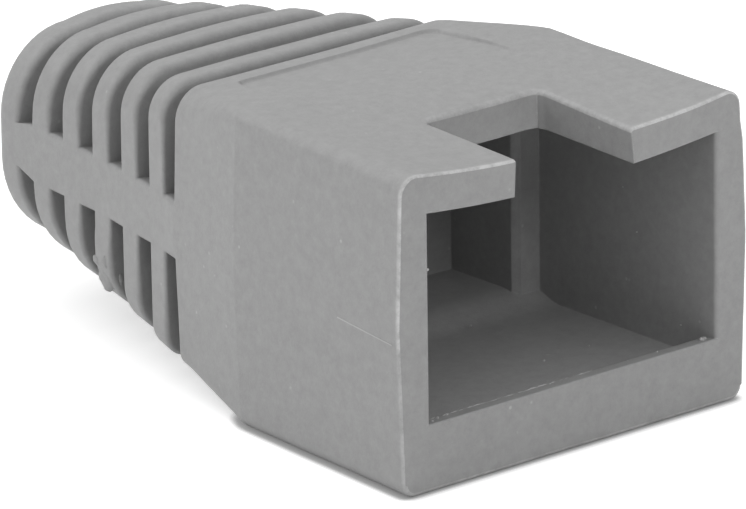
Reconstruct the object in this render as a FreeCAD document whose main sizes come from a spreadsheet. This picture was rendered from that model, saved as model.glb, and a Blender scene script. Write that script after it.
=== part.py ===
import FreeCAD, Part
import math
import os
import Sketcher
from FreeCAD import Vector

# Cable boot for an eight-position modular plug, moulded in one piece from soft PVC.
# Millimetres. X runs across the mouth, Y from the mouth back to the cable exit,
# Z up from the flat underside. The features are drawn with the mouth in the plane Y = 0,
# and the body's placement then puts the origin under the middle of the boot.

SIZES = {
    # The plug that the boot slides over, and the room left round it
    "plug_width": 11.7,
    "plug_height": 6.65,
    "plug_clearance": 0.1,
    "plug_shoulder": 1.05,
    # Walls of the housing round the plug
    "side_wall": 1.3,
    "roof_wall": 1.33,
    "floor_wall": 1.47,
    "housing_length": 8.5,
    "housing_narrowing": 0.5,
    "roof_rise": 0.05,
    "roof_sag": 0.45,
    "ceiling_sag": 0.33,
    "side_draft": 2.0,
    "mouth_top_radius": 0.65,
    "kink_top_radius": 0.4,
    "low_corner_radius": 0.5,
    # Retaining lip across the floor of the mouth
    "lip_rise": 0.78,
    "lip_depth": 0.6,
    # Height of the cable's axis and the parting plane above the housing's middle
    "axis_offset": 0.28,
    # Neck behind the plug's shoulder, whose floor climbs towards the tail
    "cavity_inset": 0.05,
    "shoulder_bevel": 0.25,
    "neck_climb": 0.43,
    "neck_drop": 0.12,
    "neck_inset": 0.65,
    # Taper from the housing to the collar, where the slotted tail begins
    "taper_length": 3.8,
    "collar_side_wall": 1.1,
    "collar_roof_wall": 1.15,
    "collar_floor_wall": 0.95,
    "collar_top_radius": 1.1,
    "collar_low_radius": 0.45,
    # Tail: slots between bars round the cable's bore, and the spines that join the bars
    "cable_bore": 6.0,
    "slot_count": 6,
    "slot_width": 0.82,
    "slot_pitch": 1.86,
    "spine_half_height": 0.98,
    "waist_bow": 0.15,
    "roof_bow": 0.12,
    "bar_edge_bevel": 0.1,
    # First bar: its side wall is that at the rear, its roof wall that at the front
    "first_side_wall": 2.55,
    "first_roof_wall": 1.65,
    "first_top_radius": 1.25,
    "first_low_radius": 1.5,
    # Last bar, the ring at the cable's exit
    "exit_ring": 1.3,
    "exit_side_wall": 1.25,
    "exit_roof_wall": 0.75,
    "exit_top_radius": 2.75,
    "exit_low_radius": 2.75,
    "exit_edge_radius": 0.5,
    # Notch in the roof for the plug's latch
    "notch_width": 4.8,
    "notch_depth": 4.45,
    "notch_corner_radius": 0.4,
    "notch_taper": 4.5,
    "notch_edge_radius": 0.15,
    # Sunken field on the roof, deepest at the back, which runs out towards the notch
    "field_inset": 0.75,
    "field_lead": 1.0,
    "field_margin": 0.7,
    "field_depth": 0.16,
    "field_corner_radius": 0.5,
    # Gate mark on the left spine and the torn stub of the sprue below it
    "gate_radius": 0.78,
    "gate_drop": 1.1,
    "gate_depth": 0.05,
    "stub_radius": 0.55,
    "stub_drop": 2.55,
    "stub_root": 0.6,
}

# Sizes worked out from the driving ones
CAVITY_HALF = "(Sizes.plug_width / 2 + Sizes.plug_clearance)"
LIP_TOP = "(Sizes.floor_wall + Sizes.lip_rise)"
CEILING = f"({LIP_TOP} + Sizes.plug_height + 2 * Sizes.plug_clearance)"
CAVITY_END = "(Sizes.housing_length - Sizes.cavity_inset)"
MOUTH_HALF = f"({CAVITY_HALF} + Sizes.side_wall)"
MOUTH_HEIGHT = f"({CEILING} + Sizes.roof_wall)"
KINK_HALF = f"({MOUTH_HALF} - Sizes.housing_narrowing)"
KINK_HEIGHT = f"({MOUTH_HEIGHT} + Sizes.roof_rise)"
AXIS = f"({MOUTH_HEIGHT} / 2 + Sizes.axis_offset)"
NECK_HALF = f"({CAVITY_HALF} - Sizes.plug_shoulder)"
NECK_FLOOR = "(Sizes.floor_wall + Sizes.neck_climb)"
NECK_CEILING = f"({CEILING} - Sizes.neck_drop)"
COLLAR = "(Sizes.housing_length + Sizes.taper_length)"
COLLAR_HALF = f"({NECK_HALF} + Sizes.collar_side_wall)"
COLLAR_TOP = f"({NECK_CEILING} + Sizes.collar_roof_wall)"
COLLAR_LOW = f"({NECK_FLOOR} - Sizes.collar_floor_wall)"
NECK_END = f"({COLLAR} - Sizes.neck_inset)"
THROAT = f"({CAVITY_END} + Sizes.shoulder_bevel)"
THROAT_CLIMB = f"(Sizes.neck_climb * Sizes.shoulder_bevel / ({NECK_END} - {CAVITY_END}))"
SPINE_FRONT = f"({COLLAR_HALF} - Sizes.spine_half_height * tan(Sizes.side_draft * 1 deg))"
BORE = "(Sizes.cable_bore / 2)"
LAST = "(Sizes.slot_count - 1)"
FIRST_BAR = f"({COLLAR} + Sizes.slot_width)"
BAR_LENGTH = "(Sizes.slot_pitch - Sizes.slot_width)"
LENGTH = f"({FIRST_BAR} + {LAST} * Sizes.slot_pitch + Sizes.exit_ring)"
NOTCH_HALF = "(Sizes.notch_width / 2)"
FIELD_HALF = f"({NECK_HALF} - Sizes.field_inset)"
FIELD_FRONT = "(Sizes.housing_length - Sizes.field_lead)"
FIELD_BACK = f"({COLLAR} - Sizes.field_margin)"
FIELD_SHARE = "((Sizes.taper_length - Sizes.field_margin) / Sizes.taper_length)"
FIELD_FALL = f"(({KINK_HEIGHT} - {COLLAR_TOP}) * {FIELD_SHARE})"
FIELD_FLOOR = f"({KINK_HEIGHT} - {FIELD_FALL} - Sizes.field_depth)"

# The bar that bears the gate mark, counted from nought
GATE_BAR = 2

# How far a cut runs past the surface that it opens, how near two places count as one,
# and the hair by which the underside is drawn low before it is faced flat
OVERCUT = 1.0
TOUCH = 0.001
FACING = 0.005


def fill_sheet(doc):
    """Put every driving dimension in the sheet, under its own name."""
    sheet = doc.addObject("Spreadsheet::Sheet", "Sizes")
    for row, (name, number) in enumerate(SIZES.items(), start=1):
        sheet.set(f"A{row}", name)
        sheet.set(f"B{row}", str(number))
        sheet.setAlias(f"B{row}", name)
    doc.recompute()
    return sheet


def evaluate(holder, expression):
    """The number that an expression over the sheet gives."""
    return float(holder.evalExpression(expression))


def along_tail(size, index):
    """A size of a bar, which runs evenly from the first bar's to the exit ring's."""
    first, last = f"Sizes.first_{size}", f"Sizes.exit_{size}"
    return f"({first} + ({last} - {first}) * {index} / {LAST})"


def bow(line, index):
    """How far a bar departs from the straight line between the first bar and the exit ring."""
    return f"4 * Sizes.{line}_bow * {index} * ({LAST} - {index}) / {LAST}^2"


def bar_front(index):
    return f"({FIRST_BAR} + {index} * Sizes.slot_pitch)"


def bar_length(index, count):
    return BAR_LENGTH if index < count - 1 else "Sizes.exit_ring"


def rear_half(index):
    """Half the width at the rear of a bar, or where the spines leave the collar."""
    if index < 0:
        return SPINE_FRONT
    return f"({BORE} + {along_tail('side_wall', index)} - {bow('waist', index)})"


def side_slope(index, count):
    """How fast the tail narrows over a slot and the bar behind it."""
    run = f"(Sizes.slot_width + {bar_length(index, count)})"
    return f"(({rear_half(index - 1)} - {rear_half(index)}) / {run})"


def origin_plane(body, role):
    return next(item for item in body.Origin.OriginFeatures if item.Role == role)


def new_sketch(body, name, role, offset):
    """A sketch parallel to an origin plane, moved along that plane's normal."""
    sketch = body.newObject("Sketcher::SketchObject", name)
    sketch.AttachmentSupport = [(origin_plane(body, role), "")]
    sketch.MapMode = "FlatFace"
    sketch.setExpression("AttachmentOffset.Base.z", offset)
    return sketch


def drive(sketch, expression, kind, *places):
    """Add a dimension between the given places and bind it to the sheet."""
    number = evaluate(sketch, expression)
    index = sketch.addConstraint(Sketcher.Constraint(kind, *places, number))
    sketch.setExpression(f"Constraints[{index}]", expression)


def drive_angle(sketch, expression, edge):
    """Bind the direction of a straight edge, in degrees from the horizontal."""
    number = math.radians(evaluate(sketch, expression))
    index = sketch.addConstraint(Sketcher.Constraint("Angle", edge, number))
    sketch.setExpression(f"Constraints[{index}]", f"({expression}) * 1 deg")


def join_ends(sketch, first, second, tangent=False):
    """Join the end of one edge to the start of the next."""
    kind = "Tangent" if tangent else "Coincident"
    sketch.addConstraint(Sketcher.Constraint(kind, first, 2, second, 1))


def arc_through(centre, start, end):
    """The arc that runs anticlockwise about its centre from start to end."""
    first = math.atan2(start.y - centre.y, start.x - centre.x)
    last = math.atan2(end.y - centre.y, end.x - centre.x)
    circle = Part.Circle(centre, Vector(0, 0, 1), (start - centre).Length)
    return Part.ArcOfCircle(circle, first, last)


def mirrored(point):
    return Vector(-point.x, point.y, point.z)


def corner_points(half_width, axis, reach, radius, slope, sign):
    """Centre, side touch and flat touch of the right corner above or below the axis."""
    centre_rise = reach - radius
    touch_rise = centre_rise + radius * math.sin(slope)
    touch_x = half_width - touch_rise * math.tan(slope)
    centre_x = touch_x - radius * math.cos(slope)
    centre = Vector(centre_x, axis + sign * centre_rise, 0)
    side = Vector(touch_x, axis + sign * touch_rise, 0)
    flat = Vector(centre_x, axis + sign * reach, 0)
    return centre, side, flat


def outline_sketch(body, name, station, half_width, top, low, top_radius, low_radius,
                   draft="Sizes.side_draft", sag=None):
    """A closed outer section: sides drafted both ways from the parting plane, four round corners.

    The edges run anticlockwise: right upper side, top right corner, roof, top left corner,
    left upper side, left lower side, bottom left corner, underside, bottom right corner,
    right lower side. With a sag the roof is an arc that dips between its corners.
    """
    sketch = new_sketch(body, name, "XZ_Plane", f"-{station}")
    axis, width, high, deep = (evaluate(sketch, size) for size in (AXIS, half_width, top, low))
    slope = math.radians(evaluate(sketch, draft))
    upper = corner_points(width, axis, high - axis, evaluate(sketch, top_radius), slope, 1)
    lower = corner_points(width, axis, axis - deep, evaluate(sketch, low_radius), slope, -1)
    vertex = Vector(width, axis, 0)

    if sag is None:
        roof = Part.LineSegment(upper[2], mirrored(upper[2]))
    else:
        roof_radius = f"(({half_width} - {top_radius})^2 + {sag}^2) / (2 * {sag})"
        roof_centre = f"{top} - {sag} + {roof_radius}"
        centre = Vector(0, evaluate(sketch, roof_centre), 0)
        roof = arc_through(centre, mirrored(upper[2]), upper[2])

    sketch.addGeometry([
        Part.LineSegment(vertex, upper[1]),
        arc_through(upper[0], upper[1], upper[2]),
        roof,
        arc_through(mirrored(upper[0]), mirrored(upper[2]), mirrored(upper[1])),
        Part.LineSegment(mirrored(upper[1]), mirrored(vertex)),
        Part.LineSegment(mirrored(vertex), mirrored(lower[1])),
        arc_through(mirrored(lower[0]), mirrored(lower[1]), mirrored(lower[2])),
        Part.LineSegment(mirrored(lower[2]), lower[2]),
        arc_through(lower[0], lower[2], lower[1]),
        Part.LineSegment(lower[1], vertex),
    ], False)
    right_upper, top_right, roof_edge, top_left, left_upper = range(5)
    left_lower, low_left, underside, low_right, right_lower = range(5, 10)

    join_ends(sketch, right_upper, top_right, tangent=True)
    if sag is None:
        join_ends(sketch, top_right, roof_edge, tangent=True)
        join_ends(sketch, roof_edge, top_left, tangent=True)
        sketch.addConstraint(Sketcher.Constraint("Horizontal", roof_edge))
        drive(sketch, top, "DistanceY", -1, 1, roof_edge, 1)
    else:
        sketch.addConstraint(Sketcher.Constraint("Coincident", top_right, 2, roof_edge, 2))
        sketch.addConstraint(Sketcher.Constraint("Coincident", roof_edge, 1, top_left, 1))
        sketch.addConstraint(Sketcher.Constraint("PointOnObject", roof_edge, 3, -2))
        drive(sketch, roof_radius, "Radius", roof_edge)
        drive(sketch, roof_centre, "DistanceY", -1, 1, roof_edge, 3)
        for corner, end in ((top_right, 2), (top_left, 1)):
            drive(sketch, top, "DistanceY", -1, 1, corner, end)
    join_ends(sketch, top_left, left_upper, tangent=True)
    join_ends(sketch, left_upper, left_lower)
    join_ends(sketch, left_lower, low_left, tangent=True)
    join_ends(sketch, low_left, underside, tangent=True)
    join_ends(sketch, underside, low_right, tangent=True)
    join_ends(sketch, low_right, right_lower, tangent=True)
    join_ends(sketch, right_lower, right_upper)

    sketch.addConstraint(Sketcher.Constraint("Horizontal", underside))
    drive(sketch, low, "DistanceY", -1, 1, underside, 1)
    drive(sketch, half_width, "DistanceX", -1, 1, right_upper, 1)
    drive(sketch, half_width, "DistanceX", left_lower, 1, -1, 1)
    drive(sketch, AXIS, "DistanceY", -1, 1, right_upper, 1)
    drive(sketch, AXIS, "DistanceY", -1, 1, left_lower, 1)
    drive_angle(sketch, f"90 + {draft}", right_upper)
    drive_angle(sketch, f"-90 - {draft}", left_upper)
    drive_angle(sketch, f"-90 + {draft}", left_lower)
    drive_angle(sketch, f"90 - {draft}", right_lower)
    for arc in (top_right, top_left):
        drive(sketch, top_radius, "Radius", arc)
    for arc in (low_left, low_right):
        drive(sketch, low_radius, "Radius", arc)
    return sketch


def rectangle_sketch(body, name, role, offset, left, right, low, high):
    """A rectangle whose four sides are placed from the sketch's origin."""
    sketch = new_sketch(body, name, role, offset)
    west, east, south, north = (evaluate(sketch, side) for side in (left, right, low, high))
    corners = [
        Vector(west, south, 0),
        Vector(east, south, 0),
        Vector(east, north, 0),
        Vector(west, north, 0),
    ]
    for index, corner in enumerate(corners):
        sketch.addGeometry(Part.LineSegment(corner, corners[(index + 1) % 4]), False)
    for index in range(4):
        join_ends(sketch, index, (index + 1) % 4)
        direction = "Horizontal" if index % 2 == 0 else "Vertical"
        sketch.addConstraint(Sketcher.Constraint(direction, index))
    drive(sketch, left, "DistanceX", -1, 1, 0, 1)
    drive(sketch, right, "DistanceX", -1, 1, 1, 1)
    drive(sketch, low, "DistanceY", -1, 1, 0, 1)
    drive(sketch, high, "DistanceY", -1, 1, 2, 1)
    return sketch


def circle_sketch(body, name, role, offset, across, up, radius):
    sketch = new_sketch(body, name, role, offset)
    centre = Vector(evaluate(sketch, across), evaluate(sketch, up), 0)
    sketch.addGeometry(Part.Circle(centre, Vector(0, 0, 1), evaluate(sketch, radius)), False)
    drive(sketch, across, "DistanceX", -1, 1, 0, 3)
    drive(sketch, up, "DistanceY", -1, 1, 0, 3)
    drive(sketch, radius, "Radius", 0)
    return sketch


def ceiling_sketch(body):
    """The mouth of the cavity, whose ceiling sags with the roof."""
    sketch = new_sketch(body, "cavity_front", "XZ_Plane", "0")
    sag = "Sizes.ceiling_sag"
    radius = f"({CAVITY_HALF}^2 + {sag}^2) / (2 * {sag})"
    centre_height = f"{CEILING} - {sag} + {radius}"
    half, high = evaluate(sketch, CAVITY_HALF), evaluate(sketch, CEILING)
    low = evaluate(sketch, "Sizes.floor_wall")
    corners = [
        Vector(-half, low, 0),
        Vector(half, low, 0),
        Vector(half, high, 0),
        Vector(-half, high, 0),
    ]
    centre = Vector(0, evaluate(sketch, centre_height), 0)
    sketch.addGeometry([
        Part.LineSegment(corners[0], corners[1]),
        Part.LineSegment(corners[1], corners[2]),
        arc_through(centre, corners[3], corners[2]),
        Part.LineSegment(corners[3], corners[0]),
    ], False)
    floor, right, ceiling, left = range(4)
    join_ends(sketch, floor, right)
    sketch.addConstraint(Sketcher.Constraint("Coincident", right, 2, ceiling, 2))
    sketch.addConstraint(Sketcher.Constraint("Coincident", ceiling, 1, left, 1))
    join_ends(sketch, left, floor)
    sketch.addConstraint(Sketcher.Constraint("Horizontal", floor))
    sketch.addConstraint(Sketcher.Constraint("Vertical", right))
    sketch.addConstraint(Sketcher.Constraint("Vertical", left))
    sketch.addConstraint(Sketcher.Constraint("PointOnObject", ceiling, 3, -2))
    drive(sketch, f"-{CAVITY_HALF}", "DistanceX", -1, 1, floor, 1)
    drive(sketch, CAVITY_HALF, "DistanceX", -1, 1, floor, 2)
    drive(sketch, "Sizes.floor_wall", "DistanceY", -1, 1, floor, 1)
    drive(sketch, radius, "Radius", ceiling)
    drive(sketch, centre_height, "DistanceY", -1, 1, ceiling, 3)
    return sketch


def loft(body, kind, name, sections, ruled):
    feature = body.newObject(f"PartDesign::{kind}", name)
    feature.Profile = sections[0]
    feature.Sections = sections[1:]
    feature.Ruled = ruled
    return feature


def extrude(body, kind, name, sketch, length, reversed_way=False, symmetric=False):
    """A pad or pocket of a sketch."""
    feature = body.newObject(f"PartDesign::{kind}", name)
    feature.Profile = sketch
    feature.setExpression("Length", length)
    feature.Reversed = reversed_way
    if symmetric:
        feature.SideType = "Symmetric"
    return feature


def dress_edges(doc, body, kind, name, size, ends_pass, middle_passes):
    """Fillet or chamfer the edges of the present shape whose ends and middle pass two tests."""
    doc.recompute()
    base = body.Tip
    names = []
    for index, edge in enumerate(base.Shape.Edges, start=1):
        middle = edge.valueAt((edge.FirstParameter + edge.LastParameter) / 2)
        if middle_passes(middle) and all(ends_pass(vertex.Point) for vertex in edge.Vertexes):
            names.append(f"Edge{index}")
    feature = body.newObject(f"PartDesign::{kind}", name)
    feature.Base = (base, names)
    feature.setExpression("Radius" if kind == "Fillet" else "Size", size)


def build_housing(body):
    """The drafted box round the plug and the taper behind it."""
    mouth = outline_sketch(
        body, "mouth_outline", "0", MOUTH_HALF, MOUTH_HEIGHT, f"-{FACING}",
        "Sizes.mouth_top_radius", "Sizes.low_corner_radius", sag="Sizes.roof_sag",
    )
    kink = outline_sketch(
        body, "kink_outline", "Sizes.housing_length", KINK_HALF, KINK_HEIGHT, f"-{FACING}",
        "Sizes.kink_top_radius", "Sizes.low_corner_radius",
    )
    collar = outline_sketch(
        body, "collar_outline", COLLAR, COLLAR_HALF, COLLAR_TOP, COLLAR_LOW,
        "Sizes.collar_top_radius", "Sizes.collar_low_radius",
    )
    loft(body, "AdditiveLoft", "housing", [mouth, kink, collar], ruled=True)
    below = rectangle_sketch(
        body, "underside_outline", "XY_Plane", "0",
        f"-{MOUTH_HALF}", MOUTH_HALF, f"-{OVERCUT}", COLLAR,
    )
    extrude(body, "Pocket", "underside", below, str(OVERCUT))


def lay_spines(body, count):
    """The band at the height of the parting plane that joins the collar and all the bars."""
    sketch = new_sketch(body, "spine_outline", "XY_Plane", AXIS)
    places = [(SPINE_FRONT, COLLAR)]
    for index in range(count):
        places.append((rear_half(index), f"({bar_front(index)} + {bar_length(index, count)})"))
    places += [(f"-{across}", along) for across, along in reversed(places)]
    points = [Vector(evaluate(sketch, across), evaluate(sketch, along), 0) for across, along in places]
    for index, point in enumerate(points):
        sketch.addGeometry(Part.LineSegment(point, points[(index + 1) % len(points)]), False)
    for index, (across, along) in enumerate(places):
        join_ends(sketch, index, (index + 1) % len(places))
        drive(sketch, across, "DistanceX", -1, 1, index, 1)
        drive(sketch, along, "DistanceY", -1, 1, index, 1)
    extrude(body, "Pad", "spines", sketch, "2 * Sizes.spine_half_height", symmetric=True)


def add_bars(body, count):
    """The bars, each a rounded block that narrows to the rear in line with the spines."""
    for index in range(count):
        slope, length = side_slope(index, count), bar_length(index, count)
        rise = f"({BORE} + {along_tail('roof_wall', index)} + {bow('roof', index)})"
        outline = outline_sketch(
            body, f"bar_{index + 1}_outline", bar_front(index),
            f"({rear_half(index)} + {slope} * {length})",
            f"({AXIS} + {rise})", f"({AXIS} - {rise})",
            along_tail("top_radius", index), along_tail("low_radius", index), draft="0",
        )
        bar = extrude(body, "Pad", f"bar_{index + 1}", outline, length, reversed_way=True)
        bar.setExpression("TaperAngle", f"-atan({slope})")


def cut_bore(body):
    """The cable's way from the neck to the exit."""
    bore = circle_sketch(body, "bore_outline", "XZ_Plane", f"-{NECK_END}", "0", AXIS, BORE)
    extrude(body, "Pocket", "bore", bore, f"{LENGTH} - {NECK_END} + {OVERCUT}")


def cut_cavity(body):
    """The plug's cavity, the neck behind its shoulder and the lip across the mouth's floor."""
    front = ceiling_sketch(body)
    back = rectangle_sketch(
        body, "cavity_back", "XZ_Plane", f"-{CAVITY_END}",
        f"-{CAVITY_HALF}", CAVITY_HALF, "Sizes.floor_wall", CEILING,
    )
    loft(body, "SubtractiveLoft", "cavity", [front, back], ruled=True)
    entry = f"({NECK_HALF} + Sizes.shoulder_bevel)"
    sections = []
    for name, station, half, low in (
        ("neck_front", CAVITY_END, entry, "Sizes.floor_wall"),
        ("neck_throat", THROAT, NECK_HALF, f"Sizes.floor_wall + {THROAT_CLIMB}"),
        ("neck_back", NECK_END, NECK_HALF, NECK_FLOOR),
    ):
        sections.append(rectangle_sketch(
            body, name, "XZ_Plane", f"-{station}", f"-{half}", half, low, NECK_CEILING,
        ))
    loft(body, "SubtractiveLoft", "neck", sections, ruled=True)
    lip = rectangle_sketch(
        body, "lip_outline", "YZ_Plane", "0",
        "0", "Sizes.lip_depth", "Sizes.floor_wall / 2", LIP_TOP,
    )
    extrude(body, "Pad", "lip", lip, f"2 * {CAVITY_HALF} + Sizes.side_wall", symmetric=True)


def soften_tail(doc, body):
    """Bevel the mouth-facing edge of every bar, and round the outer edge at the exit."""
    axis, length, first_bar = (evaluate(body, size) for size in (AXIS, LENGTH, FIRST_BAR))
    spine, pitch = (evaluate(body, f"Sizes.{name}") for name in ("spine_half_height", "slot_pitch"))

    def on_bar_front(point):
        step = (point.y - first_bar) / pitch
        return point.y > first_bar - TOUCH and abs(step - round(step)) * pitch < TOUCH

    def beyond_spine(point):
        return on_bar_front(point) and abs(point.z - axis) > spine + TOUCH

    def on_exit(point):
        return abs(point.y - length) < TOUCH

    bevel = "Sizes.bar_edge_bevel"
    dress_edges(doc, body, "Chamfer", "bar_edges", bevel, on_bar_front, beyond_spine)
    dress_edges(doc, body, "Fillet", "exit_edge", "Sizes.exit_edge_radius", on_exit, on_exit)


def cut_notch(doc, body):
    """The latch notch: round inner corners, walls that lean out towards the cavity, soft edges."""
    sketch = new_sketch(body, "notch_outline", "XY_Plane", KINK_HEIGHT)
    half, depth = evaluate(sketch, NOTCH_HALF), evaluate(sketch, "Sizes.notch_depth")
    radius = evaluate(sketch, "Sizes.notch_corner_radius")
    front_right = Vector(half, -OVERCUT, 0)
    side_touch = Vector(half, depth - radius, 0)
    back_touch = Vector(half - radius, depth, 0)
    centre = Vector(half - radius, depth - radius, 0)
    sketch.addGeometry([
        Part.LineSegment(mirrored(front_right), front_right),
        Part.LineSegment(front_right, side_touch),
        arc_through(centre, side_touch, back_touch),
        Part.LineSegment(back_touch, mirrored(back_touch)),
        arc_through(mirrored(centre), mirrored(back_touch), mirrored(side_touch)),
        Part.LineSegment(mirrored(side_touch), mirrored(front_right)),
    ], False)
    front, right, right_corner, back, left_corner, left = range(6)
    join_ends(sketch, front, right)
    join_ends(sketch, right, right_corner, tangent=True)
    join_ends(sketch, right_corner, back, tangent=True)
    join_ends(sketch, back, left_corner, tangent=True)
    join_ends(sketch, left_corner, left, tangent=True)
    join_ends(sketch, left, front)
    sketch.addConstraint(Sketcher.Constraint("Horizontal", front))
    sketch.addConstraint(Sketcher.Constraint("Vertical", right))
    sketch.addConstraint(Sketcher.Constraint("Vertical", left))
    sketch.addConstraint(Sketcher.Constraint("Equal", right_corner, left_corner))
    drive(sketch, f"-{OVERCUT}", "DistanceY", -1, 1, front, 1)
    drive(sketch, f"-{NOTCH_HALF}", "DistanceX", -1, 1, front, 1)
    drive(sketch, NOTCH_HALF, "DistanceX", -1, 1, front, 2)
    drive(sketch, "Sizes.notch_depth", "DistanceY", -1, 1, back, 1)
    drive(sketch, "Sizes.notch_corner_radius", "Radius", right_corner)
    reach = f"({KINK_HEIGHT} - {CEILING} + 2 * Sizes.ceiling_sag)"
    notch = extrude(body, "Pocket", "notch", sketch, reach)
    notch.setExpression("TaperAngle", "Sizes.notch_taper")
    lean = evaluate(sketch, f"{reach} * tan(Sizes.notch_taper * 1 deg)")

    def on_wall(point):
        past_side = max(abs(point.x) - (half - radius), 0)
        past_back = max(point.y - (depth - radius), 0)
        return -TOUCH < math.hypot(past_side, past_back) - radius < lean

    def on_rim(point):
        on_side_seam = abs(point.y - (depth - radius)) < TOUCH
        on_back_seam = abs(abs(point.x) - (half - radius)) < TOUCH
        return on_wall(point) and point.y > TOUCH and not (on_side_seam or on_back_seam)

    dress_edges(doc, body, "Fillet", "notch_edges", "Sizes.notch_edge_radius", on_wall, on_rim)


def cut_field(doc, body):
    """The sunken field between the notch and the tail, with round corners at its back."""
    sketch = new_sketch(body, "field_outline", "YZ_Plane", "0")
    front, back = evaluate(sketch, FIELD_FRONT), evaluate(sketch, FIELD_BACK)
    brink, floor = evaluate(sketch, KINK_HEIGHT), evaluate(sketch, FIELD_FLOOR)
    lid = brink + OVERCUT
    corners = [
        Vector(front, brink, 0),
        Vector(back, floor, 0),
        Vector(back, lid, 0),
        Vector(front, lid, 0),
    ]
    for index, corner in enumerate(corners):
        sketch.addGeometry(Part.LineSegment(corner, corners[(index + 1) % 4]), False)
    for index in range(4):
        join_ends(sketch, index, (index + 1) % 4)
    sketch.addConstraint(Sketcher.Constraint("Vertical", 1))
    sketch.addConstraint(Sketcher.Constraint("Horizontal", 2))
    sketch.addConstraint(Sketcher.Constraint("Vertical", 3))
    drive(sketch, FIELD_FRONT, "DistanceX", -1, 1, 0, 1)
    drive(sketch, KINK_HEIGHT, "DistanceY", -1, 1, 0, 1)
    drive(sketch, FIELD_BACK, "DistanceX", -1, 1, 0, 2)
    drive(sketch, FIELD_FLOOR, "DistanceY", -1, 1, 0, 2)
    drive(sketch, f"{KINK_HEIGHT} + {OVERCUT}", "DistanceY", -1, 1, 2, 1)
    extrude(body, "Pocket", "field", sketch, f"2 * {FIELD_HALF}", symmetric=True)
    half = evaluate(sketch, FIELD_HALF)

    def at_back_corner(point):
        return abs(abs(point.x) - half) < TOUCH and abs(point.y - back) < TOUCH

    radius = "Sizes.field_corner_radius"
    dress_edges(doc, body, "Fillet", "field_corners", radius, at_back_corner, at_back_corner)


def mark_gate(body):
    """The shallow mark of the mould's gate on the left side of the tail."""
    mark = circle_sketch(
        body, "gate_outline", "YZ_Plane", f"-({rear_half(GATE_BAR)} - Sizes.gate_depth)",
        f"({bar_front(GATE_BAR)} + {BAR_LENGTH} / 2)", f"({AXIS} - Sizes.gate_drop)",
        "Sizes.gate_radius",
    )
    extrude(body, "Pocket", "gate_mark", mark, "Sizes.first_side_wall")


def leave_stub(body):
    """The stub of the torn sprue, which stands across the front edge of the same bar."""
    stub = circle_sketch(
        body, "stub_outline", "YZ_Plane", f"-({rear_half(GATE_BAR)} - Sizes.stub_root)",
        bar_front(GATE_BAR), f"({AXIS} - Sizes.stub_drop)", "Sizes.stub_radius",
    )
    extrude(body, "Pad", "sprue_stub", stub, "Sizes.stub_root + Sizes.gate_depth", reversed_way=True)


def check(doc, body):
    """Stop before anything is written if a feature failed or the solid isn't sound."""
    failed = [item.Name for item in doc.Objects if "Invalid" in item.State or "Error" in item.State]
    if failed:
        raise RuntimeError(f"failed to recompute: {failed}")
    if body.Shape.isNull() or not body.Shape.isValid() or len(body.Shape.Solids) != 1:
        raise RuntimeError(f"{body.Label} isn't one sound solid")


def main():
    doc = FreeCAD.newDocument("cable_boot")
    fill_sheet(doc)
    body = doc.addObject("PartDesign::Body", "boot")
    body.Label = "boot"
    build_housing(body)
    cut_cavity(body)
    cut_notch(doc, body)
    cut_field(doc, body)
    count = round(evaluate(body, "Sizes.slot_count"))
    lay_spines(body, count)
    add_bars(body, count)
    soften_tail(doc, body)
    mark_gate(body)
    leave_stub(body)
    cut_bore(body)
    body.setExpression("Placement.Base.y", f"-{LENGTH} / 2")
    doc.recompute()
    check(doc, body)
    os.makedirs("parts", exist_ok=True)
    body.Shape.exportStep(f"parts/{body.Label}.step")


main()
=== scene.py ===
import math
import random

import bmesh
import bpy
from mathutils import Matrix, Vector, noise


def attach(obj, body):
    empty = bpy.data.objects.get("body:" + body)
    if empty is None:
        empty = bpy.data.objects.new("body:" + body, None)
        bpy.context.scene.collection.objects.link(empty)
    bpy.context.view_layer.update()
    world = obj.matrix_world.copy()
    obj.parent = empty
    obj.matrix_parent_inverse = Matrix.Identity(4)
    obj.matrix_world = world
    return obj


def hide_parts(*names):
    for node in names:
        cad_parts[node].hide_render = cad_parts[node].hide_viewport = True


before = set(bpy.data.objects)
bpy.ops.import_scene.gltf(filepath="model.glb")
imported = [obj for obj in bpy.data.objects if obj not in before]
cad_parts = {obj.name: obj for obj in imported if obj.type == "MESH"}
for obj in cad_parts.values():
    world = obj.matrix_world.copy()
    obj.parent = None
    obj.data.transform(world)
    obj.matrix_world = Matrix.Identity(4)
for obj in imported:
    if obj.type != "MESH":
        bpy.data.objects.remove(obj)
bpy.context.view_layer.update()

MM = 0.001
PHOTO_WIDTH = 746
SENSOR = 36.0

# The camera that was fitted to the photograph: angles in degrees, lengths in millimetres
CAMERA_AZIMUTH = 40.105
CAMERA_ELEVATION = 18.693
CAMERA_ROLL = 0.770
CAMERA_DISTANCE = 296.83
CAMERA_TARGET = (0.0, -6.86, 6.6)
CAMERA_SHIFT = (3.023, -1.352)
FOCAL_PIXELS = 9439.0

# The boot's form, in millimetres from the mouth, up from the underside
MOUTH_HALF = 7.25
MOUTH_TOP = 10.43
MOUTH_RADII = (0.65, 0.5)
ROOF_SAG = 0.45
HIGHEST = 10.48
AXIS = 5.495
LENGTH = 23.72
MIDDLE = LENGTH / 2
DRAFT = math.tan(math.radians(2.0))
KINK = 8.5
KINK_HALF = 6.75
KINK_RADII = (0.4, 0.5)
COLLAR = 12.3
COLLAR_HALF = 6.0
COLLAR_TOP = 10.13
COLLAR_LOW = 0.95
COLLAR_RADII = (1.1, 0.45)
BORE = 3.0
SLOTS = 6
SLOT_WIDTH = 0.82
SLOT_PITCH = 1.86
EXIT_RING = 1.3
SPINE = 0.98

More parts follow.
